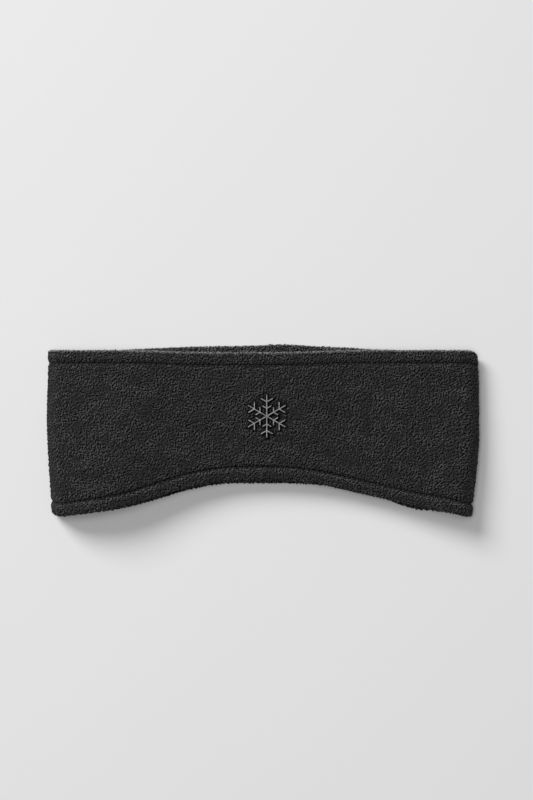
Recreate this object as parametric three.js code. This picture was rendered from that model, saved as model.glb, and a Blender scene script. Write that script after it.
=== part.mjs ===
// Fleece ear warmer headband, lying flat: one closed loop of cloth, folded at the two ear sides, with a
// stitched hem round each edge and a raised emblem on the front.
// Units are millimetres. X runs from fold to fold, Y from the lower edge to the upper, Z up from the table.

import * as THREE from 'three';
import { ParametricGeometry } from 'three/addons/geometries/ParametricGeometry.js';

// Overall sizes
const FLAT_LENGTH = 250;        // from fold to fold
const EAR_HEIGHT = 96;          // from the lower edge to the upper, at the ears
const BROW_RISE = 21.5;         // how far the front's lower edge arches up
const NAPE_RISE = 19.3;         // how far the back's lower edge arches up
const FRONT_DIP = 1.3;          // how far the front's upper edge sinks at the middle
const BACK_CROWN = 3.3;         // how far the back's upper edge stands above the ears
const LAID_HEIGHT = 21;         // from the table to the top of the highest hump
const FOLD_REACH = 6.5;         // how far each rounded fold reaches along the length
const HUMP_RISE = 1.8;          // height of the soft humps that run up the front

// Cloth and hems
const CLOTH = 2;                // thickness of the fleece
const HEM_THICKNESS = 3.3;      // two layers, pressed by the stitching
const UPPER_HEM_DEPTH = 7.4;    // from the upper edge to its stitching
const LOWER_HEM_DEPTH = 7.3;    // from the lower edge to its stitching
const STITCH_DENT = 0.7;        // how deep the stitching pulls the cloth in
const DENT_REACH = 3.5;         // how far the dent spreads from the stitching
const EDGE_ROLL = 2.2;          // how far the rounded edge reaches into the hem
const GAP = 0.3;                // between neighbouring pieces

// Emblem: a six-armed snowflake of satin stitches
const EMBLEM_SPAN = 25;         // from arm tip to arm tip
const EMBLEM_LINE = 1.3;        // width of each stitched line
const EMBLEM_RAISE = 0.8;       // height of the stitches above the cloth
const EMBLEM_OFF_CENTRE = 2.3;  // how far it sits from the middle of the length

// Steps of the surfaces round the loop
const FLAT_STEPS = 32;          // along the front, and along the back
const FOLD_STEPS = 10;          // round each fold
const ROLL_STEPS = 6;           // round each hem's edge
const DENT_STEPS = [0, DENT_REACH / 3, DENT_REACH];     // distances from the stitching

// A table as a list of rows, each with its values under the columns' names.
function namedRows(names, rows) {
    return rows.map((row) => Object.fromEntries(names.map((name, i) => [name, row[i]])));
}

// Sections along the length. at is the share of the half length, from the left fold (-1) to the right.
// frontUpper and backUpper are shares of FRONT_DIP and BACK_CROWN, frontLower and backLower of BROW_RISE
// and NAPE_RISE. liftUpper and liftLower are the front's height above the table along its upper and
// lower edges, as shares of LAID_HEIGHT: the humps over the ears and the hollow over the brow.
const SECTION_COLUMNS = [
    'at', 'frontUpper', 'backUpper', 'frontLower', 'backLower', 'liftUpper', 'liftLower',
];
const SECTIONS = namedRows(SECTION_COLUMNS, [
    [-1.00, 0.00, 0.00, 0.00, 0.20, 0.42, 0.42],
    [-0.94, 0.00, 0.00, 0.03, 0.10, 0.58, 0.78],
    [-0.80, 0.00, 0.00, 0.14, 0.12, 0.63, 1.00],
    [-0.65, 0.05, 0.10, 0.30, 0.27, 0.67, 0.96],
    [-0.50, 0.30, 0.35, 0.55, 0.52, 0.62, 0.81],
    [-0.35, 0.85, 0.58, 0.81, 0.80, 0.57, 0.70],
    [-0.20, 1.00, 0.72, 0.96, 0.98, 0.55, 0.62],
    [-0.05, 1.00, 0.78, 1.00, 1.00, 0.54, 0.58],
    [ 0.10, 1.00, 1.00, 0.98, 1.00, 0.54, 0.57],
    [ 0.25, 0.57, 0.70, 0.89, 0.96, 0.54, 0.55],
    [ 0.40, 0.13, 0.44, 0.71, 0.84, 0.56, 0.53],
    [ 0.55, 0.00, 0.10, 0.51, 0.60, 0.61, 0.56],
    [ 0.70, 0.00, 0.00, 0.32, 0.27, 0.63, 0.68],
    [ 0.85, 0.00, 0.00, 0.18, 0.15, 0.64, 0.86],
    [ 0.94, 0.00, -0.70, 0.06, 0.06, 0.62, 0.86],
    [ 1.00, 0.00, -1.50, 0.00, 0.00, 0.50, 0.52],
]);

// Outline of the two folds. up is the share of the height, from the lower edge to the upper, and left and
// right are each fold's distance from the middle as a share of the half length.
const FOLDS = namedRows(['up', 'left', 'right'], [
    [ 0.00, 0.976, 0.968],
    [ 0.10, 0.981, 0.974],
    [ 0.25, 0.988, 0.987],
    [ 0.45, 0.997, 1.000],
    [ 0.60, 1.000, 1.000],
    [ 0.85, 0.995, 0.998],
    [ 1.00, 0.994, 0.991],
]);

// Soft humps and dents that run up the front between the hems. at and reach are shares of the half length
// and rise is a share of HUMP_RISE.
const HUMPS = namedRows(['at', 'reach', 'rise'], [
    [-0.80, 0.09, -0.25],
    [-0.61, 0.12, 1.00],
    [ 0.40, 0.14, -0.30],
    [ 0.63, 0.11, 1.00],
    [ 0.79, 0.07, -0.20],
]);

// Value of one column of a table at a place between its rows, on a smooth curve through the rows.
function smoothColumn(rows, key, place, column) {
    const last = rows.length - 1;
    const inside = THREE.MathUtils.clamp(place, rows[0][key], rows[last][key]);
    let i = 0;
    while (i < last - 1 && rows[i + 1][key] < inside) i += 1;
    const slope = (k) => {
        const before = rows[Math.max(k - 1, 0)];
        const after = rows[Math.min(k + 1, last)];
        return (after[column] - before[column]) / (after[key] - before[key]);
    };
    const span = rows[i + 1][key] - rows[i][key];
    const t = (inside - rows[i][key]) / span;
    const rise = t * t * (3 - 2 * t);
    return (
        rows[i][column] * (1 - rise) +
        rows[i + 1][column] * rise +
        slope(i) * span * t * (1 - t) * (1 - t) -
        slope(i + 1) * span * t * t * (1 - t)
    );
}

// The cross-section of the folded loop: two flat runs joined by two half rounds. turn goes once round it
// from 0 to 4: the front from left to right, the right fold, the back from right to left, the left fold.
// along is the share of the half length, and up is 1 on the front and 0 on the back.
function loopSection(turn) {
    const whole = ((turn % 4) + 4) % 4;
    const run = Math.floor(whole);
    const part = whole - run;
    const foldShare = FOLD_REACH / (FLAT_LENGTH / 2);
    const flatShare = 1 - foldShare;
    const angle = part * Math.PI;
    if (run === 0) return { along: flatShare * (2 * part - 1), up: 1 };
    if (run === 1) return { along: flatShare + foldShare * Math.sin(angle), up: (1 + Math.cos(angle)) / 2 };
    if (run === 2) return { along: flatShare * (1 - 2 * part), up: 0 };
    return { along: -flatShare - foldShare * Math.sin(angle), up: (1 - Math.cos(angle)) / 2 };
}

// Lower and upper edge, in Y, at one place round the loop.
function edgesAt(section) {
    const column = (name) => smoothColumn(SECTIONS, 'at', section.along, name);
    const front = {
        lower: BROW_RISE * column('frontLower'),
        upper: EAR_HEIGHT - FRONT_DIP * column('frontUpper'),
    };
    const back = {
        lower: NAPE_RISE * column('backLower'),
        upper: EAR_HEIGHT + BACK_CROWN * column('backUpper'),
    };
    return {
        lower: THREE.MathUtils.lerp(back.lower, front.lower, section.up),
        upper: THREE.MathUtils.lerp(back.upper, front.upper, section.up),
    };
}

// Height that the humps add to the front. They fade out towards both edges.
function humpHeight(along, across) {
    const fade = 4 * across * (1 - across);
    const bell = (hump) => hump.rise * Math.exp(-(((along - hump.at) / hump.reach) ** 2));
    return HUMP_RISE * fade * HUMPS.reduce((sum, hump) => sum + bell(hump), 0);
}

// A point of the loop's outer face. across is 0 on the lower edge and 1 on the upper.
function outerFace(turn, across) {
    const section = loopSection(turn);
    const edges = edgesAt(section);
    const y = THREE.MathUtils.lerp(edges.lower, edges.upper, across);
    const side = section.along < 0 ? 'left' : 'right';
    const foldOutline = smoothColumn(FOLDS, 'up', y / EAR_HEIGHT, side);
    const lift = THREE.MathUtils.lerp(
        smoothColumn(SECTIONS, 'at', section.along, 'liftLower'),
        smoothColumn(SECTIONS, 'at', section.along, 'liftUpper'),
        across,
    );
    const x = section.along * (FLAT_LENGTH / 2) * foldOutline;
    return new THREE.Vector3(x, y, section.up * (LAID_HEIGHT * lift + humpHeight(section.along, across)));
}

// The outward direction of the outer face, from its slopes both ways.
function outwardAt(turn, across) {
    const step = 1e-3;
    const round = outerFace(turn + step, across).sub(outerFace(turn - step, across));
    const up = outerFace(turn, across + step).sub(outerFace(turn, across - step));
    return round.cross(up).normalize();
}

// Where the loop's steps fall, as turns.
const LOOP_TURNS = [0, 1, 2, 3].flatMap((run) => {
    const steps = run % 2 === 0 ? FLAT_STEPS : FOLD_STEPS;
    return Array.from({ length: steps }, (_, i) => run + i / steps);
});

// A closed strip that runs once round the loop. Each point of its profile has an edge to start from (0 the
// lower, 1 the upper, or a share between them), an inset in Y from there, and a depth below the outer face.
function stripRoundLoop(profile) {
    const place = (u, v, target) => {
        const turn = LOOP_TURNS[Math.round(u * LOOP_TURNS.length) % LOOP_TURNS.length];
        const point = profile[Math.round(v * profile.length) % profile.length];
        const edges = edgesAt(loopSection(turn));
        const across = point.from + point.inset / (edges.upper - edges.lower);
        target.copy(outerFace(turn, across)).addScaledVector(outwardAt(turn, across), -point.depth);
    };
    return new ParametricGeometry(place, LOOP_TURNS.length, profile.length);
}

// Depth of the dent beside the stitching, at a distance from it.
function dentDepth(distance) {
    return STITCH_DENT * Math.max(0, 1 - distance / DENT_REACH) ** 2;
}

// Profile of the band between the two rows of stitching, out along its outer face and back along its inner.
function bandProfile() {
    const lowerInset = LOWER_HEM_DEPTH + GAP / 2;
    const upperInset = UPPER_HEM_DEPTH + GAP / 2;
    const outerShares = [0.1, 0.2, 0.35, 0.5, 0.65, 0.8, 0.9];
    const innerShares = [0.8, 0.6, 0.4, 0.2];
    const between = (depth) => (share) => ({
        from: share,
        inset: THREE.MathUtils.lerp(lowerInset, -upperInset, share),
        depth,
    });
    const dented = (from, inset, inwards) => DENT_STEPS.map((step) => ({
        from,
        inset: inset + inwards * step,
        depth: dentDepth(step),
    }));
    return [
        ...dented(0, lowerInset, 1),
        ...outerShares.map(between(0)),
        ...dented(1, -upperInset, -1).reverse(),
        { from: 1, inset: -upperInset, depth: CLOTH },
        ...innerShares.map(between(CLOTH)),
        { from: 0, inset: lowerInset, depth: CLOTH },
    ];
}

// Profile of a hem: from the stitching out to the rounded edge and back along the inside.
function hemProfile(edge, hemDepth) {
    const inwards = edge === 0 ? 1 : -1;
    const stitching = hemDepth - GAP / 2;
    const half = HEM_THICKNESS / 2;
    const points = DENT_STEPS.map((step) => ({ inset: stitching - step, depth: dentDepth(step) }));
    for (let i = 0; i <= ROLL_STEPS; i += 1) {
        const angle = (i / ROLL_STEPS) * Math.PI;
        points.push({ inset: EDGE_ROLL * (1 - Math.sin(angle)), depth: half * (1 - Math.cos(angle)) });
    }
    points.push({ inset: stitching, depth: HEM_THICKNESS });
    const ordered = edge === 0 ? points.reverse() : points;
    return ordered.map((point) => ({ from: edge, inset: inwards * point.inset, depth: point.depth }));
}

// Half of one arm of the snowflake, in the arm's own axes: x along the arm and y beside it. Each barb
// leaves the arm at 60 degrees, and its two sides meet the arm's side where their lines cross.
function armSide() {
    const half = EMBLEM_LINE / 2;
    const length = EMBLEM_SPAN / 2;
    const along = new THREE.Vector2(Math.cos(Math.PI / 3), Math.sin(Math.PI / 3));
    const beside = new THREE.Vector2(along.y, -along.x);
    const barbs = [
        { at: 0.36, reach: 0.24 },
        { at: 0.66, reach: 0.30 },
    ];
    const points = [new THREE.Vector2(half * Math.sqrt(3), half)];
    for (const barb of barbs) {
        const root = new THREE.Vector2(length * barb.at, 0);
        const tip = root.clone().addScaledVector(along, length * barb.reach);
        points.push(new THREE.Vector2(root.x - half / Math.sqrt(3), half));
        points.push(tip.clone().addScaledVector(beside, -half));
        points.push(tip.clone().addScaledVector(beside, half));
        points.push(new THREE.Vector2(root.x + half * Math.sqrt(3), half));
    }
    points.push(new THREE.Vector2(length - half / 2, half));
    points.push(new THREE.Vector2(length, half / 2));
    return points;
}

// The snowflake's outline: six arms, each one side out and the mirrored side back.
function snowflakeShape() {
    const side = armSide();
    const centre = new THREE.Vector2();
    const outline = [];
    for (let arm = 0; arm < 6; arm += 1) {
        const turn = Math.PI / 2 + (arm * Math.PI) / 3;
        const near = side.map((point) => new THREE.Vector2(point.x, -point.y));
        const far = side.slice(1).reverse();
        outline.push(...[...near, ...far].map((point) => point.clone().rotateAround(centre, turn)));
    }
    return new THREE.Shape(outline);
}

// The emblem: the snowflake given its thickness, then laid on the front midway between the two hems.
function emblemGeometry() {
    const raise = { depth: EMBLEM_RAISE, bevelEnabled: false };
    const geometry = new THREE.ExtrudeGeometry(snowflakeShape(), raise);
    const flatShare = 1 - FOLD_REACH / (FLAT_LENGTH / 2);
    const edges = edgesAt({ along: 0, up: 1 });
    const middle = (edges.lower + LOWER_HEM_DEPTH + edges.upper - UPPER_HEM_DEPTH) / 2;
    const position = geometry.attributes.position;
    const point = new THREE.Vector3();
    for (let i = 0; i < position.count; i += 1) {
        point.fromBufferAttribute(position, i);
        const along = (EMBLEM_OFF_CENTRE + point.x) / (FLAT_LENGTH / 2);
        const turn = (along / flatShare + 1) / 2;
        const here = edgesAt(loopSection(turn));
        const across = (middle + point.y - here.lower) / (here.upper - here.lower);
        const height = GAP + point.z;
        point.copy(outerFace(turn, across)).addScaledVector(outwardAt(turn, across), height);
        position.setXYZ(i, point.x, point.y, point.z);
    }
    return geometry;
}

function fleece(color) {
    return new THREE.MeshStandardMaterial({ color, roughness: 0.95, metalness: 0 });
}

function namedMesh(name, geometry, material) {
    const mesh = new THREE.Mesh(geometry, material);
    mesh.name = name;
    return mesh;
}

const headband = new THREE.Group();
headband.add(namedMesh('ear_band', stripRoundLoop(bandProfile()), fleece('#2a2a2a')));
headband.add(namedMesh('upper_hem', stripRoundLoop(hemProfile(1, UPPER_HEM_DEPTH)), fleece('#2c2c2c')));
headband.add(namedMesh('lower_hem', stripRoundLoop(hemProfile(0, LOWER_HEM_DEPTH)), fleece('#2c2c2c')));
const thread = new THREE.MeshStandardMaterial({ color: '#5a5a5a', roughness: 0.5, metalness: 0 });
headband.add(namedMesh('emblem', emblemGeometry(), thread));

// The origin is the middle of the headband's bounding box, on the table.
headband.updateMatrixWorld(true);
const box = new THREE.Box3().setFromObject(headband);
const middle = box.getCenter(new THREE.Vector3());
headband.position.set(-middle.x, -middle.y, -box.min.z);

export default headband;
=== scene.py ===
# Fleece ear warmer headband, lying flat with its front up, in Blender 4.5.
# Lengths are metres. X runs from fold to fold, Y from the lower edge to the upper, Z up from the table.

import math

import bpy
import numpy as np
from bpy.props import FloatProperty, FloatVectorProperty, PointerProperty
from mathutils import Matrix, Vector


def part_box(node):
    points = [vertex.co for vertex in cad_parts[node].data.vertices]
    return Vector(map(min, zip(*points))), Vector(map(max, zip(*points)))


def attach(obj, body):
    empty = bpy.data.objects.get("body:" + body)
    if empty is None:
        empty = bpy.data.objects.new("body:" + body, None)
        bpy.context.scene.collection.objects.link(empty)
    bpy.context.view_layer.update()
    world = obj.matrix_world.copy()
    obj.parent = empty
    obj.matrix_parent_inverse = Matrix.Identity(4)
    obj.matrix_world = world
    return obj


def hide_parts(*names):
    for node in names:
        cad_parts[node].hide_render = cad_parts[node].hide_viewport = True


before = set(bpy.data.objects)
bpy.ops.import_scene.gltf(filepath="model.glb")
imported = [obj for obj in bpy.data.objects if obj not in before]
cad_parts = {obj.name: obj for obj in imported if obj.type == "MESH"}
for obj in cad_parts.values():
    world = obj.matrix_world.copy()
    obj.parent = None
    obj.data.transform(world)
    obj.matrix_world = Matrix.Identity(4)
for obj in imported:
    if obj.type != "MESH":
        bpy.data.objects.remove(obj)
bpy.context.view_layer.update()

bl_info = {
    "name": "Fleece Ear Warmer",
    "version": (1, 0, 0),
    "blender": (4, 5, 0),
    "location": "View3D > Sidebar > Ear Warmer",
    "description": "Builds a fleece ear warmer headband, lying flat, with its hems, stitching and emblem",
    "category": "Add Mesh",
}

MM = 0.001
BODY = "root"

# Steps of the surfaces. The front is finest, because it is seen from close above.
BAND_STEPS = {"front": 396, "fold": 32, "back": 112}
HEM_STEPS = {"front": 600, "fold": 32, "back": 300}
BAND_OUTER_STEPS = 150
BAND_INNER_STEPS = 24
HEM_PROFILE_STEPS = {"outer": 26, "roll": 20, "inner": 20, "under": 4}

# Where steps round the loop come closer together: how far that reaches, in turns, and by how much.
CLOSE_AT_EMBLEM = {"reach": 0.07, "gain": 0.8}
CLOSE_AT_SEAM = {"reach": 0.01, "gain": 8}

# Points at which lines and densities are added up, and the lowest edge is looked for.
FINE_POINTS = 4001
EDGE_POINTS = 2001

# Modelled relief of the fleece, random waves held within a limit: clumps of curls, fraying and swells.
CLUMP = {"shortest": 2.2 * MM, "longest": 4.5 * MM, "height": 0.02 * MM}
FRAY = {"shortest": 1.3 * MM, "longest": 3.0 * MM, "height": 0.21 * MM}
SWELL = {"shortest": 11 * MM, "longest": 30 * MM, "height": 0.2 * MM}
RELIEF_WAVES = 44
RELIEF_LIMIT = 2.2

# Towards the folds the swells fade and the pile frays. The places are shares of the half length.
SWELL_FADE = {"over": 0.08, "least": 0.15}
FOLD_FRAY = {"start": 0.95, "over": 0.03, "share": 0.75}

# How much more the hems' edges fray on the back, and the share of the relief on the band's inner face.
BACK_FRAY = 0.7
INNER_RELIEF = 0.6

# Between the band and a hem at their stitching, and between the cloth and the table's plane.
SEAT_GAP = 0.05 * MM
TABLE_GAP = 0.02 * MM

# Inside of a hem: its turned-in end below the cloth, and the dent of the stitching.
TUCK_GAP = 0.1 * MM
INNER_DENT = {"depth": 0.35 * MM, "reach": 1.4 * MM}

# Puckers of a hem from one stitch to the next.
PUCKER = {"height": 0.12 * MM, "reach": 2.2 * MM}

# Centre back seam: a groove along its line with a swell on either side, and the share that a hem shows.
SEAM_GROOVE = {"depth": 0.55 * MM, "reach": 0.5 * MM}
SEAM_SWELL = {"height": 0.35 * MM, "place": 1.8 * MM, "reach": 1.2 * MM}
HEM_SEAM_SHARE = 0.2

# Cloth round the emblem: pulled in and darkened as painted shadow, most below and to the right of the
# stitches, and swelling beside.
VALLEY = {"reach": 1.5 * MM, "offset": (0.5 * MM, -0.5 * MM), "pressed": 0.95}
EMBLEM_SWELL = {"height": 0.25 * MM, "place": 2.8 * MM, "reach": 1.1 * MM}

# Barbs of each arm of the snowflake: where they start and how long they are, as shares of the arm.
BARBS = ((0.36, 0.24), (0.66, 0.30))

# Satin stitches: from one thread to the next, and how deep a thread's ends reach below the pressed cloth.
SATIN_PITCH = 0.34 * MM
SATIN_ROOT = 0.1 * MM

# Loose fibres, light grey as painted sheen on the hems' edges: their number on the lower and the upper hem,
# the spacing and spread of their tufts, the depth of their roots, and their thickness from root to end.
FUZZ_COUNTS = (400, 7600)
TUFT_SPACING = 1.3 * MM
TUFT_SPREAD = 0.5 * MM
FUZZ_ROOT = 0.12 * MM
FUZZ_TAPER = (1.0, 0.95, 0.8, 0.45)

# Sections along the length. at is the share of the half length, from the left fold (-1) to the right.
# The upper and lower columns are shares of how far each edge rises or dips, and the lift columns are the
# front's height above the table along its upper and lower edges, as shares of the laid height.
SECTION_COLUMNS = "at front_upper back_upper front_lower back_lower lift_upper lift_lower"
SECTION_ROWS = [
    (-1.00, 0.00, 0.00, 0.00, 0.20, 0.42, 0.42),
    (-0.94, 0.00, 0.00, 0.03, 0.10, 0.58, 0.78),
    (-0.80, 0.00, 0.00, 0.14, 0.12, 0.63, 1.00),
    (-0.65, 0.05, 0.10, 0.30, 0.27, 0.67, 0.96),
    (-0.50, 0.30, 0.35, 0.55, 0.52, 0.62, 0.81),
    (-0.35, 0.85, 0.58, 0.81, 0.80, 0.57, 0.70),
    (-0.20, 1.00, 0.72, 0.96, 0.98, 0.55, 0.62),
    (-0.05, 1.00, 0.78, 1.00, 1.00, 0.54, 0.58),
    (0.10, 1.00, 1.00, 0.98, 1.00, 0.54, 0.57),
    (0.25, 0.57, 0.70, 0.89, 0.96, 0.54, 0.55),
    (0.40, 0.13, 0.44, 0.71, 0.84, 0.56, 0.53),
    (0.55, 0.00, 0.10, 0.51, 0.60, 0.61, 0.56),
    (0.70, 0.00, 0.00, 0.32, 0.27, 0.63, 0.68),
    (0.85, 0.00, 0.00, 0.18, 0.15, 0.64, 0.86),
    (0.94, 0.00, -0.70, 0.06, 0.06, 0.62, 0.86),
    (1.00, 0.00, -1.50, 0.00, 0.00, 0.50, 0.52),
]

# Outline of the two folds. up is the share of the height, and left and right are each fold's distance
# from the middle as a share of the half length.
FOLD_COLUMNS = "up left right"
FOLD_ROWS = [
    (0.00, 0.976, 0.968),
    (0.10, 0.981, 0.974),
    (0.25, 0.988, 0.987),
    (0.45, 0.997, 1.000),
    (0.60, 1.000, 1.000),
    (0.85, 0.995, 0.998),
    (1.00, 0.994, 0.991),
]

# Soft humps and dents that run up the front. at and reach are shares of the half length, and rise is a
# share of the humps' height.
HUMP_COLUMNS = "at reach rise"
HUMP_ROWS = [
    (-0.80, 0.09, -0.25),
    (-0.61, 0.12, 1.00),
    (0.40, 0.14, -0.30),
    (0.63, 0.11, 1.00),
    (0.79, 0.07, -0.20),
]


def linear(hex_colour):
    """An sRGB hex colour as linear red, green and blue."""
    values = [int(hex_colour[i:i + 2], 16) / 255 for i in (1, 3, 5)]
    return tuple(v / 12.92 if v <= 0.04045 else ((v + 0.055) / 1.055) ** 2.4 for v in values)


def length(name, description, millimetres):
    """A length that a user can change, in metres."""
    return FloatProperty(
        name=name, description=description, default=millimetres * MM, precision=4, unit="LENGTH"
    )


def colour(name, description, hex_colour):
    """A colour that a user can change."""
    return FloatVectorProperty(
        name=name, description=description, default=linear(hex_colour), subtype="COLOR", size=3, min=0, max=1
    )


class HeadbandSizes(bpy.types.PropertyGroup):
    """Sizes of the headband.

    The solids have the same length, height, arches and hem depths, and plainer dents and edges.
    """

    flat_length: length("Flat length", "From fold to fold, lying flat", 250)
    ear_height: length("Ear height", "From the lower edge to the upper, at the ears", 96)
    brow_rise: length("Brow rise", "How far the front's lower edge arches up", 21.5)
    nape_rise: length("Nape rise", "How far the back's lower edge arches up", 19.3)
    front_dip: length("Front dip", "How far the front's upper edge sinks at the middle", 1.3)
    back_crown: length("Back crown", "How far the back's upper edge stands above the ears", 3.3)
    laid_height: length("Laid height", "From the table to the top of the highest hump", 21)
    fold_reach: length("Fold reach", "How far each rounded fold reaches along the length", 6.5)
    hump_rise: length("Hump rise", "Height of the soft humps up the front", 1.8)
    cloth: length("Cloth", "Thickness of the fleece", 2)
    hem_thickness: length("Hem thickness", "Two layers, pressed by the stitching", 3.3)
    upper_hem_depth: length("Upper hem depth", "From the upper edge to its stitching", 7.4)
    lower_hem_depth: length("Lower hem depth", "From the lower edge to its stitching", 7.3)
    upper_dent: length("Upper dent", "How deep the upper stitching pulls the cloth in", 0.5)
    lower_dent: length("Lower dent", "How deep the lower stitching pulls the cloth in", 0.8)
    dent_reach: length("Dent reach", "How far the dents spread from the stitching", 3.2)
    edge_roll: length("Edge roll", "How far the rounded edge reaches into the hem", 1.5)
    turning: length("Turning", "How far the turned-in cloth reaches past the stitching", 2.6)
    stitch_length: length("Stitch length", "From one topstitch to the next", 3)
    stitch_thread: length("Stitch thread", "Thickness of the topstitching thread", 0.42)
    notch_depth: length("Notch depth", "How much deeper the thread cuts in than the dent", 0.6)
    notch_reach: length("Notch reach", "How far the notch spreads from the thread", 0.45)
    emblem_press: length("Emblem press", "How deep the satin stitches pull the cloth in", 1.0)
    fuzz_length: length("Fuzz length", "Of the longest loose fibres on the hems' edges", 0.85)
    fuzz_thickness: length("Fuzz thickness", "Of one wisp of loose fibres", 0.13)
    hem_puff: length("Hem puff", "How far the hem swells between its edge and stitching", 0.25)
    seam_place: length("Seam place", "How far the centre back seam sits from the middle", 6)
    emblem_span: length("Emblem span", "From arm tip to arm tip", 25)
    emblem_line: length("Emblem line", "Width of each satin-stitched line", 1.3)
    emblem_proud: length("Emblem proud", "How far the satin stitches stand out of the cloth", 0.5)
    emblem_off_centre: length("Emblem off centre", "How far it sits from the middle of the length", 2.3)


class HeadbandColours(bpy.types.PropertyGroup):
    """Colours of the headband."""

    # The fleece runs between these two: their mean is the cloth's own charcoal, and their spread is painted
    # light on the curls and painted shade in the hollows between them.
    curl: colour("Curl", "Tips of the fleece's curls", "#606060")
    hollow: colour("Hollow", "Shade between the curls", "#030303")
    thread: colour("Thread", "Topstitching thread", "#1c1c1c")
    # A light grey that is painted sheen: much lighter than the cloth that the loose fibres come from.
    fibre_with_painted_sheen: colour("Fibre", "Loose fibres on the hems' edges", "#a4a4a4")
    satin: colour("Satin", "Embroidery thread of the emblem", "#989898")
    table: colour("Table", "The surface it lies on", "#e8e8e8")


def named_rows(columns, rows):
    """A table as named columns, each an array with one value for each row."""
    return dict(zip(columns.split(), np.array(rows, dtype=float).T))


def smooth_column(table, key, places, column):
    """Values of a column at places between the rows, on a cubic curve through the rows.

    At each row the curve's slope is that of the line between the rows before and after it.
    """
    keys, values = table[key], table[column]
    last = len(keys) - 1
    before = np.maximum(np.arange(last + 1) - 1, 0)
    after = np.minimum(np.arange(last + 1) + 1, last)
    slopes = (values[after] - values[before]) / (keys[after] - keys[before])
    inside = np.clip(places, keys[0], keys[-1])
    i = np.clip(np.searchsorted(keys, inside, side="left") - 1, 0, last - 1)
    span = keys[i + 1] - keys[i]
    t = (inside - keys[i]) / span
    rise = t * t * (3 - 2 * t)
    bend = slopes[i] * (1 - t) - slopes[i + 1] * t
    return values[i] * (1 - rise) + values[i + 1] * rise + bend * span * t * (1 - t)


class LoopSurface:
    """The outer face of the folded loop.

    A place on it is a turn and a share across. turn goes once round from 0 to 4: the front from left to
    right, the right fold, the back from right to left, and the left fold. across is 0 on the lower edge
    and 1 on the upper.
    """

    def __init__(self, sizes):
        self.sizes = sizes
        self.sections = named_rows(SECTION_COLUMNS, SECTION_ROWS)
        self.folds = named_rows(FOLD_COLUMNS, FOLD_ROWS)
        self.humps = named_rows(HUMP_COLUMNS, HUMP_ROWS)
        self.half = sizes.flat_length / 2
        self.fold_share = sizes.fold_reach / self.half
        self.flat_half = self.half * (1 - self.fold_share)
        lower, _ = self.edges(np.linspace(0, 4, EDGE_POINTS))
        self.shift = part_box("lower_hem")[0].y - lower.min()

    def turn_at(self, x, back=False):
        """Turn at a distance from the middle of the length, on the front or on the back."""
        share = x / self.flat_half
        return 2 + (1 - share) / 2 if back else (share + 1) / 2

    def section(self, turns):
        """Share of the half length, and share of the height: two flat runs joined by two half rounds."""
        whole = np.mod(turns, 4)
        run = np.floor(whole).astype(int)
        part = whole - run
        flat = 1 - self.fold_share
        bulge = flat + self.fold_share * np.sin(part * math.pi)
        along = np.choose(run, [flat * (2 * part - 1), bulge, flat * (1 - 2 * part), -bulge])
        turned = (1 + np.cos(part * math.pi)) / 2
        up = np.choose(run, [np.ones_like(part), turned, np.zeros_like(part), 1 - turned])
        return along, up

    def edges(self, turns):
        """Y of the lower and the upper edge: the back's and the front's, mixed by the share of the height."""
        sizes = self.sizes
        along, up = self.section(turns)
        column = {name: smooth_column(self.sections, "at", along, name) for name in self.sections}
        front_lower = sizes.brow_rise * column["front_lower"]
        front_upper = sizes.ear_height - sizes.front_dip * column["front_upper"]
        back_lower = sizes.nape_rise * column["back_lower"]
        back_upper = sizes.ear_height + sizes.back_crown * column["back_upper"]
        return back_lower + (front_lower - back_lower) * up, back_upper + (front_upper - back_upper) * up

    def hump(self, along, across):
        """Height that the humps add: bells along the length that fade to nothing at both edges."""
        spread = (along[..., None] - self.humps["at"]) / self.humps["reach"]
        bells = (self.humps["rise"] * np.exp(-spread**2)).sum(axis=-1)
        return self.sizes.hump_rise * 4 * across * (1 - across) * bells

    def outer(self, turns, across):
        """Points of the outer face: the section's stadium, stretched to the folds' outline and the lift."""
        turns, across = np.broadcast_arrays(turns, across)
        along, up = self.section(turns)
        lower, upper = self.edges(turns)
        y = lower + (upper - lower) * across
        share = y / self.sizes.ear_height
        left = smooth_column(self.folds, "up", share, "left")
        right = smooth_column(self.folds, "up", share, "right")
        x = along * self.half * np.where(along < 0, left, right)
        lift_lower = smooth_column(self.sections, "at", along, "lift_lower")
        lift_upper = smooth_column(self.sections, "at", along, "lift_upper")
        lift = lift_lower + (lift_upper - lift_lower) * across
        z = up * (self.sizes.laid_height * lift + self.hump(along, across))
        return np.stack([x, y + self.shift, z], axis=-1)

    def outward(self, turns, across):
        """The outward direction: the slope round the loop crossed with the slope across it."""
        step = 1e-3
        round_loop = self.outer(turns + step, across) - self.outer(turns - step, across)
        up_loop = self.outer(turns, across + step) - self.outer(turns, across - step)
        normal = np.cross(round_loop, up_loop)
        return normal / np.linalg.norm(normal, axis=-1, keepdims=True)

    def place(self, turns, distance, depth, edge):
        """Points at a distance from an edge (0 the lower, 1 the upper) and a depth below the outer face."""
        lower, upper = self.edges(turns)
        share = distance / (upper - lower)
        across = share if edge == 0 else 1 - share
        return self.outer(turns, across) - depth[..., None] * self.outward(turns, across)


def bell(distance, reach):
    """A bell of height 1: e to the power of minus the square of the distance over the reach."""
    return np.exp(-((distance / reach) ** 2))


def run_along(line):
    """Distance run along a line up to each of its points: the lengths of its steps added up."""
    return np.concatenate([[0], np.cumsum(np.linalg.norm(np.diff(line, axis=0), axis=1))])


def evenly_round(loop, edge, shares):
    """Turns at shares of the way round an edge, measured along it."""
    fine = np.linspace(0, 4, FINE_POINTS)
    run = run_along(loop.outer(fine, np.full(fine.shape, float(edge))))
    return np.interp(shares * run[-1], run, fine)


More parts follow.
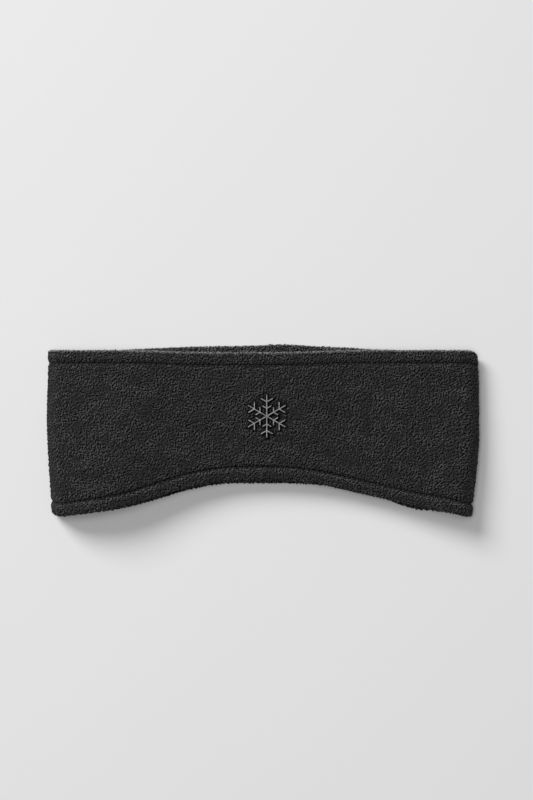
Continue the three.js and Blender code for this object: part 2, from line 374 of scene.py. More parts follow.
def graded(low, high, count, places, reach, gain):
    """Places from low to high, closer together near some of them.

    Their density is 1 plus a bell of the given reach and height at each of those places.
    """
    fine = np.linspace(low, high, FINE_POINTS)
    density = 1 + gain * bell(fine[:, None] - np.asarray(places), reach).sum(axis=1)
    total = np.concatenate([[0], np.cumsum((density[1:] + density[:-1]) / 2)])
    return np.interp(np.linspace(0, total[-1], count), total, fine)


def loop_turns(loop, steps):
    """Turns of a strip's steps round the loop, closer together at the emblem and at the back seam."""
    emblem = loop.turn_at(loop.sizes.emblem_off_centre)
    seam = loop.turn_at(loop.sizes.seam_place, back=True)
    return np.concatenate([
        graded(0, 1, steps["front"] + 1, [emblem], **CLOSE_AT_EMBLEM)[:-1],
        np.linspace(1, 2, steps["fold"] + 1)[:-1],
        graded(2, 3, steps["back"] + 1, [seam], **CLOSE_AT_SEAM)[:-1],
        np.linspace(3, 4, steps["fold"] + 1)[:-1],
    ])


def grid_normals(points):
    """Outward directions of a closed grid: the step round the loop crossed with that along the profile."""
    along = np.roll(points, -1, axis=0) - np.roll(points, 1, axis=0)
    across = np.roll(points, -1, axis=1) - np.roll(points, 1, axis=1)
    normal = np.cross(along, across)
    return normal / np.maximum(np.linalg.norm(normal, axis=-1, keepdims=True), 1e-12)


def cloth_coordinates(points, rise):
    """Distance round the loop, and distance along the profile, in metres, for each corner of a closed grid.

    rise is the Y from which each profile starts, so that the cloth's grain runs straight past arched edges.
    """
    closed = np.concatenate([points, points[:1]], axis=0)
    closed = np.concatenate([closed, closed[:, :1]], axis=1)
    round_loop = run_along(closed[:, 0])
    steps = np.linalg.norm(np.diff(closed, axis=1), axis=2)
    across = np.concatenate([np.zeros((len(closed), 1)), np.cumsum(steps, axis=1)], axis=1)
    across += np.concatenate([rise, rise[:1]])
    return np.broadcast_to(round_loop[:, None], across.shape), across


def waves(u, v, shortest, longest, count, seed, around):
    """A random relief of about unit height: the sum of cosine waves of random direction and phase.

    Each wavelength lies between shortest and longest, and the waves fit a whole number of times round.
    """
    rng = np.random.default_rng(seed)
    total = np.zeros(np.broadcast(u, v).shape)
    for _ in range(count):
        angle = rng.uniform(0, 2 * math.pi)
        number = 1 / rng.uniform(shortest, longest)
        round_number = round(number * math.cos(angle) * around) / around
        phase = rng.uniform(0, 2 * math.pi)
        total += np.cos(2 * math.pi * (round_number * u + number * math.sin(angle) * v) + phase)
    return total * math.sqrt(2 / count)


def add_mesh(name, points, faces, replaced=(), uv=None, values=None):
    """Makes a mesh from a list of points and an array of faces, and ties it to the frame."""
    mesh = bpy.data.meshes.new(name)
    sides = faces.shape[1]
    mesh.vertices.add(len(points))
    mesh.vertices.foreach_set("co", np.ascontiguousarray(points, dtype=np.float32).ravel())
    mesh.loops.add(faces.size)
    mesh.loops.foreach_set("vertex_index", np.ascontiguousarray(faces, dtype=np.int32).ravel())
    mesh.polygons.add(len(faces))
    mesh.polygons.foreach_set("loop_start", np.arange(0, faces.size, sides, dtype=np.int32))
    mesh.polygons.foreach_set("use_smooth", np.ones(len(faces), dtype=bool))
    if uv is not None:
        layer = mesh.uv_layers.new(name="cloth")
        layer.data.foreach_set("uv", np.ascontiguousarray(uv, dtype=np.float32).ravel())
    for key, numbers in (values or {}).items():
        attribute = mesh.attributes.new(key, "FLOAT", "POINT")
        attribute.data.foreach_set("value", np.ascontiguousarray(numbers, dtype=np.float32).ravel())
    mesh.update(calc_edges=True)
    mesh.validate()
    piece = bpy.data.objects.new(name, mesh)
    bpy.context.scene.collection.objects.link(piece)
    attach(piece, BODY)
    if replaced:
        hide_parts(*replaced)
    return piece


def add_closed_grid(name, points, replaced, uv, pressed, normals):
    """Makes a mesh of a grid that closes on itself both ways, with four-sided faces.

    The press of the stitching and the normals are kept for the fleece, for its painted shade in the grooves
    and beside the emblem, and for its painted light and shade by which way it faces.
    """
    rows, columns = points.shape[:2]
    i, j = np.meshgrid(np.arange(rows), np.arange(columns), indexing="ij")
    next_i, next_j = (i + 1) % rows, (j + 1) % columns
    corners = [i * columns + j, next_i * columns + j, next_i * columns + next_j, i * columns + next_j]
    faces = np.stack(corners, axis=-1).reshape(-1, 4)
    u, v = uv
    corner_u = np.stack([u[:-1, :-1], u[1:, :-1], u[1:, 1:], u[:-1, 1:]], axis=-1)
    corner_v = np.stack([v[:-1, :-1], v[1:, :-1], v[1:, 1:], v[:-1, 1:]], axis=-1)
    uv = np.stack([corner_u, corner_v], axis=-1).reshape(-1, 2)
    # Attributes for the fleece: painted shade along the stitching and beside the emblem, and painted light
    # and shade by which way the cloth faces.
    values = {"pressed": pressed, "painted_facing_share": painted_facing_light(normals)}
    return add_mesh(name, points.reshape(-1, 3), faces, replaced, uv, values)


def dent_depth(sizes, distance, edge):
    """Depth of the dent beside the stitching: a wide hollow, and a narrow notch where the thread cuts in."""
    deepest = sizes.upper_dent if edge else sizes.lower_dent
    hollow = deepest * np.clip(1 - distance / sizes.dent_reach, 0, None) ** 2
    return hollow + sizes.notch_depth * bell(distance, sizes.notch_reach)


def stitch_press(sizes, distance):
    """How far the thread presses the pile down, and how dark its painted shade is: 1 at the stitching, fading
    to 0 beside it.
    """
    return bell(distance, 1.5 * sizes.notch_reach)


def back_seam(loop, turns):
    """Relief of the centre back seam: a groove along its line, with a swell on either side."""
    away = (turns - loop.turn_at(loop.sizes.seam_place, back=True)) * 2 * loop.flat_half
    groove = SEAM_GROOVE["depth"] * bell(away, SEAM_GROOVE["reach"])
    swell = SEAM_SWELL["height"] * bell(np.abs(away) - SEAM_SWELL["place"], SEAM_SWELL["reach"])
    return swell - groove


def fleece_relief(u, v, seed, kind):
    """Height that one kind of relief adds to the fleece, at each point of a closed grid."""
    around = float(u[-1, 0])
    u, v = u[:-1, :-1], v[:-1, :-1]
    relief = waves(u, v, kind["shortest"], kind["longest"], RELIEF_WAVES, seed, around)
    return kind["height"] * np.clip(relief, -RELIEF_LIMIT, RELIEF_LIMIT)


def emblem_lines(sizes):
    """Middle lines of the snowflake, as start and end points in its own plane.

    Six arms stand a sixth of a turn apart, and each barb turns a sixth of a turn away from its arm.
    """
    half = sizes.emblem_span / 2
    lines = []
    for arm in range(6):
        turn = math.pi / 2 + arm * math.pi / 3
        along = np.array([math.cos(turn), math.sin(turn)])
        lines.append((np.zeros(2), along * half))
        for share, reach in BARBS:
            for side in (-1, 1):
                barb_turn = turn + side * math.pi / 3
                barb = np.array([math.cos(barb_turn), math.sin(barb_turn)])
                lines.append((along * half * share, along * half * share + barb * half * reach))
    return lines


def emblem_place(loop):
    """X and Y of the emblem's middle: halfway between the two rows of stitching."""
    sizes = loop.sizes
    lower, upper = loop.edges(np.array([0.5]))
    y = (lower[0] + sizes.lower_hem_depth + upper[0] - sizes.upper_hem_depth) / 2
    return np.array([sizes.emblem_off_centre, y + loop.shift])


def distance_to_lines(flat_points, lines):
    """Distance of each point from the nearest of the lines."""
    nearest = np.full(flat_points.shape[:-1], np.inf)
    for start, end in lines:
        along = end - start
        share = np.clip(((flat_points - start) @ along) / (along @ along), 0, 1)
        gap = np.linalg.norm(flat_points - start - share[..., None] * along, axis=-1)
        nearest = np.minimum(nearest, gap)
    return nearest


def rest_on_table(points):
    """Presses flat what would reach into the table."""
    points[..., 2] = np.maximum(points[..., 2], TABLE_GAP)
    return points


def painted_facing_light(normals):
    """Painted light and shade by which way the cloth faces: the higher this is, the lighter the fleece's
    colour.

    It is 0.8 times how far the cloth turns up the table, and 0.4 times how far it turns to the right, up to a
    turn
    of 0.7: painted light on faces turned that way. Where the cloth turns to the left, as much is taken off,
    as painted shade.
    """
    return 0.8 * np.maximum(normals[..., 1], 0) + 0.4 * np.clip(normals[..., 0], -0.7, 0.7)


# Materials

def node(tree, kind, inputs=None, **settings):
    """Adds a shader node. settings are its own, and inputs are values or outputs that feed its sockets."""
    new = tree.nodes.new("ShaderNode" + kind)
    for name, value in settings.items():
        setattr(new, name, value)
    for socket, value in (inputs or {}).items():
        if isinstance(value, bpy.types.NodeSocket):
            tree.links.new(value, new.inputs[socket])
        else:
            new.inputs[socket].default_value = value
    return new


def new_material(name):
    """An empty node material, and its tree."""
    material = bpy.data.materials.new(name)
    material.use_nodes = True
    material.node_tree.nodes.clear()
    return material, material.node_tree


def add_shader(tree, inputs):
    """Ends a material's tree with its shader and output."""
    shader = node(tree, "BsdfPrincipled", inputs)
    node(tree, "OutputMaterial", {"Surface": shader.outputs[0]})


def give_material(piece, name, make, *settings):
    """Gives a piece the material of that name, made once."""
    piece.data.materials.append(bpy.data.materials.get(name) or make(name, *settings))


def brushed_fleece(name, colours):
    """Brushed polyester fleece: a matt pile of short curls, with painted light on the curls and painted shade
    in the hollows.

    The curls are the knots of a noise whose cells are just under 1 mm. Each curl has painted light on its
    side up left, towards the key light, and painted shade on its side down right: that is the difference
    between the noise a little above left and a little below right, and a share of the noise itself, which
    paints the hollows darker. This painted light and shade is stronger in some patches of about 7 mm and
    weaker in others. The pattern follows the cloth's own coordinates, which are in metres.
    """
    material, tree = new_material(name)
    cloth = node(tree, "UVMap", uv_map="cloth").outputs[0]
    cell = 0.95 * MM
    stretch = 1.15
    # How far above left and below right the noise is read, for each curl's painted light and shade.
    lean = 0.24 * MM
    painted_height_share = 0.35
    patch = 7 * MM
    lying, standing = 0.5, 1.35
    darkest, lightest = -0.18, 0.206
    contrast = 2.0
    # Painted light and shade by which way the cloth faces: the colour is multiplied by this gain to the power
    # of that share.
    painted_facing_gain = 2.2
    pile_height = 1.6 * MM

    def curls(right, up):
        """Noise with cells a little longer up to the right, read at a small distance from the place."""
        place = node(
            tree, "Mapping",
            {
                "Vector": cloth,
                "Location": (-right, -up, 0),
                "Rotation": (0, 0, math.radians(45)),
                "Scale": (stretch * cell, cell, 1),
            },
            vector_type="TEXTURE",
        ).outputs[0]
        return node(
            tree, "TexNoise",
            {"Vector": place, "Scale": 1.0, "Detail": 1.0, "Roughness": 0.6, "Distortion": 0.3},
            noise_dimensions="2D",
        ).outputs[0]

    height = curls(0, 0)
    # Painted light on each curl's side up left, towards the key light, and painted shade on its side down
    # right.
    painted_curl_light = node(
        tree, "Math", {0: curls(-lean, lean), 1: curls(lean, -lean)}, operation="SUBTRACT"
    ).outputs[0]
    # A share of the noise itself: painted light on the curls' tops and painted shade in their hollows.
    painted_height_shade = node(tree, "Math", {0: height, 1: 0.5}, operation="SUBTRACT").outputs[0]
    pile = node(
        tree, "Math", {0: painted_height_shade, 1: painted_height_share, 2: painted_curl_light}, operation="MULTIPLY_ADD"
    ).outputs[0]
    # Random patches of about 7 mm where the painted light and shade is stronger or weaker.
    patches = node(
        tree, "TexNoise", {"Vector": cloth, "Scale": 1 / patch, "Detail": 1.0},
        noise_dimensions="2D",
    ).outputs[0]
    stand = node(
        tree, "MapRange",
        {"Value": patches, "From Min": 0.35, "From Max": 0.65, "To Min": lying, "To Max": standing},
    ).outputs[0]
    pile = node(tree, "Math", {0: pile, 1: stand}, operation="MULTIPLY").outputs[0]
    shade = node(
        tree, "MapRange", {"Value": pile, "From Min": darkest, "From Max": lightest}
    ).outputs[0]
    shade = node(tree, "Math", {0: shade, 1: contrast}, operation="POWER").outputs[0]
    base = node(
        tree, "Mix",
        {0: shade, 6: (*colours.hollow, 1), 7: (*colours.curl, 1)}, data_type="RGBA",
    ).outputs[2]
    # Painted light and shade by which way the cloth faces, read from the mesh's attribute.
    painted_facing_share = node(tree, "Attribute", attribute_name="painted_facing_share").outputs["Fac"]
    lighter = node(tree, "Math", {0: painted_facing_gain, 1: painted_facing_share}, operation="POWER").outputs[0]
    base = node(tree, "VectorMath", {0: base, "Scale": lighter}, operation="SCALE").outputs[0]
    # Painted shade along the stitching and beside the emblem: the colour goes towards a darker shade of the
    # hollows.
    pressed = node(tree, "Attribute", attribute_name="pressed").outputs["Fac"]
    base = node(
        tree, "Mix",
        {0: pressed, 6: base, 7: (*[0.6 * c for c in colours.hollow], 1)}, data_type="RGBA",
    ).outputs[2]
    bump = node(
        tree, "Bump", {"Height": height, "Strength": 1.0, "Distance": pile_height}
    ).outputs[0]
    add_shader(tree, {
        "Base Color": base, "Normal": bump, "Roughness": 0.95, "Specular IOR Level": 0.03,
        "Sheen Weight": 0.06, "Sheen Roughness": 0.4, "Sheen Tint": (0.5, 0.5, 0.5, 1),
    })
    return material


def polyester_thread(name, thread_colour, roughness, sheen):
    """Polyester thread: smooth filaments, darker and lighter by turns where they twist."""
    material, tree = new_material(name)
    place = node(tree, "TexCoord").outputs["Object"]
    streaks = node(
        tree, "TexNoise", {"Vector": place, "Scale": 1 / (0.8 * MM), "Detail": 2.0}
    ).outputs[0]
    shade = node(
        tree, "MapRange", {"Value": streaks, "From Min": 0.35, "From Max": 0.65}
    ).outputs[0]
    dark = [0.5 * c for c in thread_colour]
    light = [min(1, 1.45 * c) for c in thread_colour]
    base = node(
        tree, "Mix", {0: shade, 6: (*dark, 1), 7: (*light, 1)}, data_type="RGBA"
    ).outputs[2]
    bump = node(tree, "Bump", {"Height": streaks, "Distance": 0.1 * MM}).outputs[0]
    add_shader(tree, {"Base Color": base, "Normal": bump, "Roughness": roughness, "Sheen Weight": sheen})
    return material


def painted_board(name, colours):
    """Smooth painted board: matt, pale, with faint clouds in its tone."""
    material, tree = new_material(name)
    place = node(tree, "TexCoord").outputs["Object"]
    clouds = node(tree, "TexNoise", {"Vector": place, "Scale": 6.0, "Detail": 2.0}).outputs[0]
    base = node(
        tree, "Mix",
        {0: clouds, 6: (*[0.985 * c for c in colours.table], 1), 7: (*colours.table, 1)}, data_type="RGBA",
    ).outputs[2]
    add_shader(tree, {"Base Color": base, "Roughness": 0.7, "Specular IOR Level": 0.2})
    return material


# Pieces

def chosen(scene):
    """The sizes and colours that the user has chosen, and the loop that they give."""
    return scene.headband_sizes, scene.headband_colours, LoopSurface(scene.headband_sizes)


def band_profile(sizes, width):
    """Profile of the band: distances from the lower stitching, and depths below the outer face.

    It runs out along the outer face, down the edge, and back along the inner face. Its outer steps are
    closer together at the edges and in the middle.
    """
    at_edges = graded(0, 1, BAND_OUTER_STEPS, [0, 1], reach=0.03, gain=3)
    at_middle = graded(0, 1, BAND_OUTER_STEPS, [0.5], reach=0.2, gain=0.8)
    out = (at_edges + at_middle) / 2
    back = np.linspace(1, 0, BAND_INNER_STEPS)
    out_depth = dent_depth(sizes, out * width, 0) + dent_depth(sizes, (1 - out) * width, 1)
    back_depth = np.full((len(width), BAND_INNER_STEPS), sizes.cloth)
    distance = np.concatenate([out * width, back * width], axis=1)
    return distance, np.concatenate([out_depth, back_depth], axis=1)


def hem_profile(sizes, hem_depth, edge):
    """Profile of a hem, as distances from its edge, depths, and how much of the fleece's relief each takes.

    It runs from the stitching out to the rounded edge, which is half an ellipse, back along the inside,
    past the stitching to the end of the turned-in cloth, and back under that to where it began.
    """
    steps = HEM_PROFILE_STEPS
    half = sizes.hem_thickness / 2
    seat = hem_depth - SEAT_GAP
    end = hem_depth + sizes.turning
    outer = graded(seat, sizes.edge_roll, steps["outer"], [hem_depth], reach=0.9 * MM, gain=3)
    roll = np.linspace(0, math.pi, steps["roll"] + 2)[1:-1]
    inner = np.linspace(sizes.edge_roll, end, steps["inner"])
    under = np.linspace(end, seat, steps["under"])
    puff = sizes.hem_puff * np.sin(math.pi * (outer - sizes.edge_roll) / (hem_depth - sizes.edge_roll)) ** 2
    distance = np.concatenate([outer, sizes.edge_roll * (1 - np.sin(roll)), inner, under])
    depth = np.concatenate([
        dent_depth(sizes, hem_depth - outer, edge) - puff,
        half * (1 - np.cos(roll)),
        sizes.hem_thickness - INNER_DENT["depth"] * bell(inner - hem_depth, INNER_DENT["reach"]),
        np.full(steps["under"], sizes.cloth + TUCK_GAP),
    ])
    relief = np.concatenate([
        1 - stitch_press(sizes, hem_depth - outer),
        np.ones(steps["roll"] + steps["inner"]),
        np.zeros(steps["under"]),
    ])
    return distance, depth, relief


def build_band(scene):
    """Builds the fleece band, with its relief, and the valleys beside the emblem's stitches, dented and
    darkened as painted shadow.
    """
    sizes, colours, loop = chosen(scene)
    turns = loop_turns(loop, BAND_STEPS)[:, None]
    lower, upper = loop.edges(turns)
    width = upper - lower - sizes.lower_hem_depth - sizes.upper_hem_depth - 2 * SEAT_GAP
    distance, depth = band_profile(sizes, width)
    points = loop.place(turns, distance + sizes.lower_hem_depth + SEAT_GAP, depth, 0)
    uv = cloth_coordinates(points, lower)
    normals = grid_normals(points)
    from_middle = np.abs(loop.section(turns)[0])
    swelling = np.clip((1 - from_middle) / SWELL_FADE["over"], SWELL_FADE["least"], 1)
    fraying = np.clip((from_middle - FOLD_FRAY["start"]) / FOLD_FRAY["over"], 0, 1)
    relief = fleece_relief(*uv, 11, CLUMP)
    relief += fleece_relief(*uv, 12, SWELL) * swelling
    relief += fleece_relief(*uv, 14, FRAY) * FOLD_FRAY["share"] * fraying
    # The thread's press: it flattens the relief, and it is also the painted shade along the stitching.
    pressed = stitch_press(sizes, distance) + stitch_press(sizes, width - distance)
    pressed[:, BAND_OUTER_STEPS:] = 0
    free = 1 - np.clip(pressed, 0, 1)
    relief *= free
    relief[:, BAND_OUTER_STEPS:] *= INNER_RELIEF
    relief[:, [BAND_OUTER_STEPS, -1]] = 0
    relief[:, :BAND_OUTER_STEPS] += back_seam(loop, turns) * free[:, :BAND_OUTER_STEPS]
    front = np.zeros(relief.shape)
    front[:BAND_STEPS["front"], :BAND_OUTER_STEPS] = 1
    lines = emblem_lines(sizes)
    flat = points[..., :2] - emblem_place(loop)
    # Valley beside the emblem's stitches, shifted down right: it dents the cloth and also paints its shadow.
    valley_and_painted_shadow = bell(distance_to_lines(flat - np.array(VALLEY["offset"]), lines), VALLEY["reach"])
    beside = distance_to_lines(flat, lines) - EMBLEM_SWELL["place"]
    swell = EMBLEM_SWELL["height"] * bell(beside, EMBLEM_SWELL["reach"])
    relief = relief * (1 - front * valley_and_painted_shadow) + front * (swell - sizes.emblem_press * valley_and_painted_shadow)
    pressed = np.clip(pressed + front * VALLEY["pressed"] * valley_and_painted_shadow, 0, 1)
    points = rest_on_table(points + relief[..., None] * normals)
    normals = grid_normals(points)
    piece = add_closed_grid("ear_band_cloth", points, ("ear_band",), uv, pressed, normals)
    give_material(piece, "Brushed_fleece", brushed_fleece, colours)


def build_hem(scene, edge):
    """Builds one hem: edge is 0 for the lower and 1 for the upper."""
    sizes, colours, loop = chosen(scene)
    hem_depth = sizes.upper_hem_depth if edge else sizes.lower_hem_depth
    distance, depth, weight = hem_profile(sizes, hem_depth, edge)
    if edge == 0:
        distance, depth, weight = distance[::-1], depth[::-1], weight[::-1]
    turns = loop_turns(loop, HEM_STEPS)[:, None]
    shape = (len(turns), len(distance))
    points = loop.place(turns, np.broadcast_to(distance, shape), np.broadcast_to(depth, shape), edge)
    uv = cloth_coordinates(points, loop.edges(turns)[edge])
    normals = grid_normals(points)
    _, up = loop.section(turns)
    fraying = bell(distance, 1.2 * sizes.edge_roll) * (1 + BACK_FRAY * (1 - up))
    relief = fleece_relief(*uv, 31 + edge, CLUMP) + fraying * fleece_relief(*uv, 35 + edge, FRAY)
    pulled = PUCKER["height"] * bell(distance - hem_depth, PUCKER["reach"])
    pucker = pulled * np.cos(2 * math.pi * uv[0][:-1, :-1] / sizes.stitch_length)
    relief = (relief + pucker + HEM_SEAM_SHARE * back_seam(loop, turns)) * weight
    points = rest_on_table(points + relief[..., None] * normals)
    name = ("lower_hem", "upper_hem")[edge]
    # Painted shade along the hem's stitching.
    pressed = np.broadcast_to(stitch_press(sizes, distance - hem_depth), shape)
    piece = add_closed_grid(name + "_cloth", points, (name,), uv, pressed, normals)
    give_material(piece, "Hem_fleece", brushed_fleece, colours)


def build_fuzz(scene, edge):
    """Builds the loose fibres along one hem's rounded edge: thin hairs in tufts, which lean and bend.

    A hair runs along the outward direction plus its lean, and its bend grows with the square of the way.
    """
    sizes, colours, loop = chosen(scene)
    rng = np.random.default_rng(71 + edge)
    count = FUZZ_COUNTS[edge]
    around = 2 * sizes.flat_length
    tufts = round(around / TUFT_SPACING)
    tuft = rng.integers(0, tufts, count)
    tuft_places = (np.arange(tufts) + rng.uniform(0.1, 0.9, tufts)) / tufts
    shares = tuft_places[tuft] + rng.normal(0, TUFT_SPREAD / around, count)
    turns = evenly_round(loop, edge, np.mod(shares, 1))[:, None]
    angle = rng.uniform(0.12, 0.72, (count, 1)) * math.pi
    half = sizes.hem_thickness / 2

    def on_roll(turns, angles):
        """Points on the rounded edge, from angle 0 on the outer face to half a turn on the inner."""
        distance = sizes.edge_roll * (1 - np.sin(angles))
        return loop.place(turns, distance, half * (1 - np.cos(angles)), edge)[:, 0]

    def unit(vectors):
        """The same directions at length 1."""
        return vectors / np.linalg.norm(vectors, axis=-1, keepdims=True)

    def slant(round_share, side_share):
        """A random slant for each hair, from its spread round the loop and its spread across the roll."""
        round_part = rng.normal(0, round_share, (count, 1)) * round_loop
        return round_part + rng.normal(0, side_share, (count, 1)) * side

    base = on_roll(turns, angle)
    side = on_roll(turns, angle + 0.05) - on_roll(turns, angle - 0.05)
    round_loop = on_roll(turns + 1e-3, angle) - base
    out = unit(np.cross(side, round_loop) * (1 if edge == 0 else -1))
    round_loop = unit(round_loop)
    side = unit(side)
    lean = slant(0.75, 0.55)
    bend = 0.7 * slant(0.9, 0.6)
    part = np.linspace(0, 1, len(FUZZ_TAPER))[None, :, None]
    tuft_share = rng.uniform(0.55, 1.0, tufts)[tuft][:, None, None]
    reach = tuft_share * rng.uniform(0.6, 1.0, (count, 1, 1)) * sizes.fuzz_length
    paths = base[:, None] + reach * (part * (out + lean)[:, None] + part**2 * bend[:, None])
    paths -= FUZZ_ROOT * out[:, None]
    radii = sizes.fuzz_thickness / 2 * np.array(FUZZ_TAPER)
    points, faces = tubes(paths, radii, 3, 1.0, np.cross(out, side))
    name = ("lower", "upper")[edge] + "_edge_fuzz"
    piece = add_mesh(name, rest_on_table(points), faces)
    # Light grey fibres: painted sheen along the hems' edges, most on the upper edge, where the key light
    # falls.
    give_material(piece, "Loose_fibre_painted_sheen", polyester_thread, colours.fibre_with_painted_sheen, 0.8, 0.3)


def tubes(paths, radii, sides, flatness, normals):
    """Closed tubes along many paths at once: a ring round each point of the path, and a point at each end.

    paths is tubes by steps by 3, radii is one radius for each step, flatness is a tube's height as a share
    of its width, and normals gives each tube's up.
    """
    count, steps = paths.shape[:2]
    forward = np.gradient(paths, axis=1)
    forward /= np.linalg.norm(forward, axis=-1, keepdims=True)
    beside = np.cross(forward, normals[:, None, :])
    beside /= np.linalg.norm(beside, axis=-1, keepdims=True)
    up = np.cross(beside, forward)
    angles = np.arange(sides) * 2 * math.pi / sides
    across = np.cos(angles)[None, None, :, None] * beside[:, :, None, :]
    above = flatness * np.sin(angles)[None, None, :, None] * up[:, :, None, :]
    rings = paths[:, :, None, :] + radii[None, :, None, None] * (across + above)
    ends = paths[:, [0, -1], :]
    points = np.concatenate([rings.reshape(count, -1, 3), ends], axis=1)
    step, side = np.meshgrid(np.arange(steps - 1), np.arange(sides), indexing="ij")
    a, b = step * sides + side, step * sides + (side + 1) % sides
    walls = np.stack([a, b, b + sides, a, b + sides, a + sides], axis=-1).reshape(-1, 3)
    side = np.arange(sides)
    start = np.stack([(side + 1) % sides, side, np.full(sides, steps * sides)], axis=-1)
    last = (steps - 1) * sides
    end = np.stack([last + side, last + (side + 1) % sides, np.full(sides, steps * sides + 1)], axis=-1)
    faces = np.concatenate([walls, start, end])
    per_tube = steps * sides + 2
    faces = (faces[None] + (np.arange(count) * per_tube)[:, None, None]).reshape(-1, 3)
    return points.reshape(-1, 3), faces


def build_topstitching(scene, edge):
    """Builds one hem's row of topstitches, outside and inside.

    Each is a short thread that arches as half a sine wave, so that both its ends dip into the cloth.
    """
    sizes, colours, loop = chosen(scene)
    hem_depth = sizes.upper_hem_depth if edge else sizes.lower_hem_depth
    dent = sizes.upper_dent if edge else sizes.lower_dent

    def on_stitching(turns, depth):
        """Points on the line of the stitching, at a depth below the outer face."""
        return loop.place(turns, np.full(turns.shape, hem_depth), np.broadcast_to(depth, turns.shape), edge)

    fine = np.linspace(0, 4, FINE_POINTS)
    run = run_along(on_stitching(fine, 0.0))
    count = round(run[-1] / sizes.stitch_length)
    part = np.linspace(0, 1, 8)
    starts = np.arange(count)[:, None]
    turns = np.interp((starts + 0.08 + 0.84 * part) * run[-1] / count, run, fine)
    arch = sizes.stitch_thread * (1.5 * np.sin(math.pi * part) - 1.2)
    outside = on_stitching(turns, dent + 0.45 * sizes.notch_depth - arch)
    inside = on_stitching(turns, sizes.hem_thickness - INNER_DENT["depth"] + arch)
    paths = rest_on_table(np.concatenate([outside, inside]))
    middle = turns[:, len(part) // 2]
    up = loop.outward(middle, np.full(middle.shape, 0.5))
    radii = sizes.stitch_thread / 2 * (0.55 + 0.45 * np.sin(math.pi * part))
    points, faces = tubes(paths, radii, 6, 1.0, np.concatenate([up, up]))
    name = ("lower", "upper")[edge] + "_topstitching"
    piece = add_mesh(name, rest_on_table(points), faces)
    give_material(piece, "Polyester_thread", polyester_thread, colours.thread, 0.7, 0.2)


def build_emblem(scene):
    """Builds the snowflake: on each line, close threads laid side by side.

    A thread crosses its line at a slant, and its height is a half circle from edge to edge.
    """
    sizes, colours, loop = chosen(scene)
    rng = np.random.default_rng(5)
    part = np.linspace(-1, 1, 9)
    half_circle = np.sqrt(np.clip(1 - part**2, 0, 1))
    slant = 0.35 * sizes.emblem_line
    flat, heights = [], []
    for start, end in emblem_lines(sizes):
        span = np.linalg.norm(end - start)
        along = (end - start) / span
        beside = np.array([-along[1], along[0]])
        threads = np.arange(0.25 * sizes.emblem_line, span, SATIN_PITCH)[:, None]
        across = part * 0.25 * sizes.emblem_line * (1 + rng.uniform(-0.06, 0.06, threads.shape))
        ahead = threads + slant * part / 2
        flat.append(start + ahead[..., None] * along + across[..., None] * beside)
        heights.append(np.broadcast_to(half_circle, across.shape))
    flat = np.concatenate(flat) + emblem_place(loop)
    turns = loop.turn_at(flat[..., 0])
    lower, upper = loop.edges(turns)
    share = (flat[..., 1] - loop.shift - lower) / (upper - lower)
    up = loop.outward(turns, share)
    foot = sizes.emblem_press + SATIN_ROOT
    lift = np.concatenate(heights) * (sizes.emblem_proud + foot) - foot
    paths = loop.outer(turns, share) + lift[..., None] * up
    radii = 0.62 * SATIN_PITCH * np.sqrt(np.clip(1.05 - part**2, 0.15, 1))
    points, faces = tubes(paths, radii, 6, 0.8, up[:, len(part) // 2])
    piece = add_mesh("emblem_satin", points, faces, ("emblem",))
    give_material(piece, "Satin_embroidery_thread", polyester_thread, colours.satin, 0.3, 0.1)


# Stage

def add_table(scene):
    """Adds the pale table, a square much wider than the view."""
    half = 4.0
    corners = [(-half, -half, 0), (half, -half, 0), (half, half, 0), (-half, half, 0)]
    mesh = bpy.data.meshes.new("table")
    mesh.from_pydata(corners, [], [(0, 1, 2, 3)])
    table = bpy.data.objects.new("table", mesh)
    scene.collection.objects.link(table)
    give_material(table, "Painted_board", painted_board, scene.headband_colours)


def add_daylight(scene, strength):
    """Gives the world an even white light."""
    world = scene.world or bpy.data.worlds.new("studio")
    scene.world = world
    world.use_nodes = True
    background = world.node_tree.nodes["Background"]
    background.inputs["Color"].default_value = (1, 1, 1, 1)
    background.inputs["Strength"].default_value = strength


def add_soft_light(scene, name, width, watts, place, turned=(0, 0, 0)):
    """Adds a round soft light, which shines straight down unless it is turned."""
    light = bpy.data.lights.new(name, "AREA")
    light.shape = "DISK"
    light.size = width
    light.energy = watts
    lamp = bpy.data.objects.new(name, light)
    lamp.location = place
    lamp.rotation_euler = turned
    scene.collection.objects.link(lamp)


def add_camera(scene, over_x, over_y, focus_height):
    """Adds the camera, straight above, with the headband 432.7 pixels wide in its frame."""
    distance = 1.5
    image_height = 800
    headband_width, headband_pixels = 250, 432.7
    frame_height = image_height * headband_width / headband_pixels * MM
    camera = bpy.data.cameras.new("camera")
    camera.sensor_width = 36
    camera.lens = camera.sensor_width * distance / frame_height
    camera.clip_start = 0.01
    eye = bpy.data.objects.new("camera", camera)
    eye.location = (over_x, over_y, distance + focus_height)
    scene.collection.objects.link(eye)
    scene.camera = eye


# Operators

class HEADBAND_OT_band(bpy.types.Operator):
    """Builds the fleece band between the two rows of stitching"""

    bl_idname = "headband.band"
    bl_label = "Ear Band"

    def execute(self, context):
        build_band(context.scene)
        return {"FINISHED"}


class HEADBAND_OT_hems(bpy.types.Operator):
    """Builds the turned hems round the upper and lower edges"""

    bl_idname = "headband.hems"
    bl_label = "Hems"

    def execute(self, context):
        for edge in (0, 1):
            build_hem(context.scene, edge)
        return {"FINISHED"}


class HEADBAND_OT_fuzz(bpy.types.Operator):
    """Builds the loose fibres that stand out of the hems' rounded edges"""

    bl_idname = "headband.fuzz"
    bl_label = "Edge Fuzz"

    def execute(self, context):
        for edge in (0, 1):
            build_fuzz(context.scene, edge)
        return {"FINISHED"}


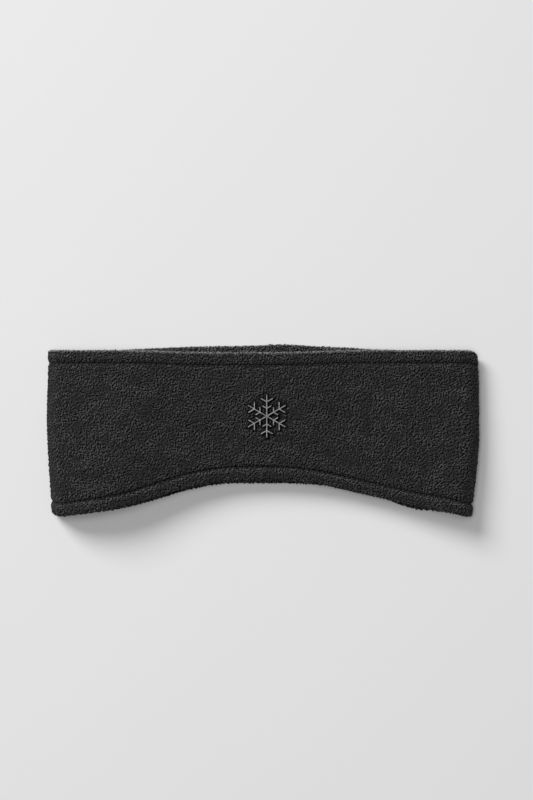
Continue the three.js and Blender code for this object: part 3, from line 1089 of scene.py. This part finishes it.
class HEADBAND_OT_topstitching(bpy.types.Operator):
    """Builds the rows of topstitching along both hems"""

    bl_idname = "headband.topstitching"
    bl_label = "Topstitching"

    def execute(self, context):
        for edge in (0, 1):
            build_topstitching(context.scene, edge)
        return {"FINISHED"}


class HEADBAND_OT_emblem(bpy.types.Operator):
    """Builds the satin-stitched snowflake on the front"""

    bl_idname = "headband.emblem"
    bl_label = "Emblem"

    def execute(self, context):
        build_emblem(context.scene)
        return {"FINISHED"}


class HEADBAND_OT_declare(bpy.types.Operator):
    bl_idname = "headband.declare"
    bl_label = "Declare Cloth"

    def execute(self, context):
        return {"FINISHED"}


class HEADBAND_OT_stage(bpy.types.Operator):
    """Makes the pale table, the soft lights and the camera straight above"""

    bl_idname = "headband.stage"
    bl_label = "Stage"

    def execute(self, context):
        scene = context.scene
        add_table(scene)
        add_daylight(scene, strength=0.1)

        elevation = math.radians(37)
        sideways = Vector((-0.673, 0.74, 0)).normalized() * math.cos(elevation)
        towards = Vector((sideways.x, sideways.y, math.sin(elevation)))
        turned = (-towards).to_track_quat("-Z", "Y").to_euler()
        add_soft_light(scene, "key_light", 2.15, 168, towards * 4.4, turned)
        add_soft_light(scene, "ceiling_light", 1.8, 34.5, (-0.35, 0.1, 3.0))

        add_camera(scene, over_x=2.1 * MM, over_y=17.8 * MM, focus_height=7 * MM)
        scene.view_settings.view_transform = "Standard"
        return {"FINISHED"}


class HEADBAND_PT_panel(bpy.types.Panel):
    """Lists the headband's sizes, colours and pieces"""

    bl_label = "Ear Warmer"
    bl_idname = "HEADBAND_PT_panel"
    bl_space_type = "VIEW_3D"
    bl_region_type = "UI"
    bl_category = "Ear Warmer"

    def draw(self, context):
        layout = self.layout
        for group in (context.scene.headband_sizes, context.scene.headband_colours):
            box = layout.box()
            for name in group.__annotations__:
                box.prop(group, name)
        for operator in OPERATORS:
            layout.operator(operator.bl_idname)


OPERATORS = (
    HEADBAND_OT_stage,
    HEADBAND_OT_band,
    HEADBAND_OT_hems,
    HEADBAND_OT_fuzz,
    HEADBAND_OT_topstitching,
    HEADBAND_OT_emblem,
    HEADBAND_OT_declare,
)
CLASSES = (HeadbandSizes, HeadbandColours, *OPERATORS, HEADBAND_PT_panel)


def register():
    for cls in CLASSES:
        bpy.utils.register_class(cls)
    bpy.types.Scene.headband_sizes = PointerProperty(type=HeadbandSizes)
    bpy.types.Scene.headband_colours = PointerProperty(type=HeadbandColours)


def unregister():
    del bpy.types.Scene.headband_sizes
    del bpy.types.Scene.headband_colours
    for cls in reversed(CLASSES):
        bpy.utils.unregister_class(cls)


def main():
    register()
    bpy.ops.headband.stage()
    bpy.ops.headband.band()
    bpy.ops.headband.hems()
    bpy.ops.headband.fuzz()
    bpy.ops.headband.topstitching()
    bpy.ops.headband.emblem()
    bpy.ops.headband.declare()


if __name__ == "__main__":
    main()
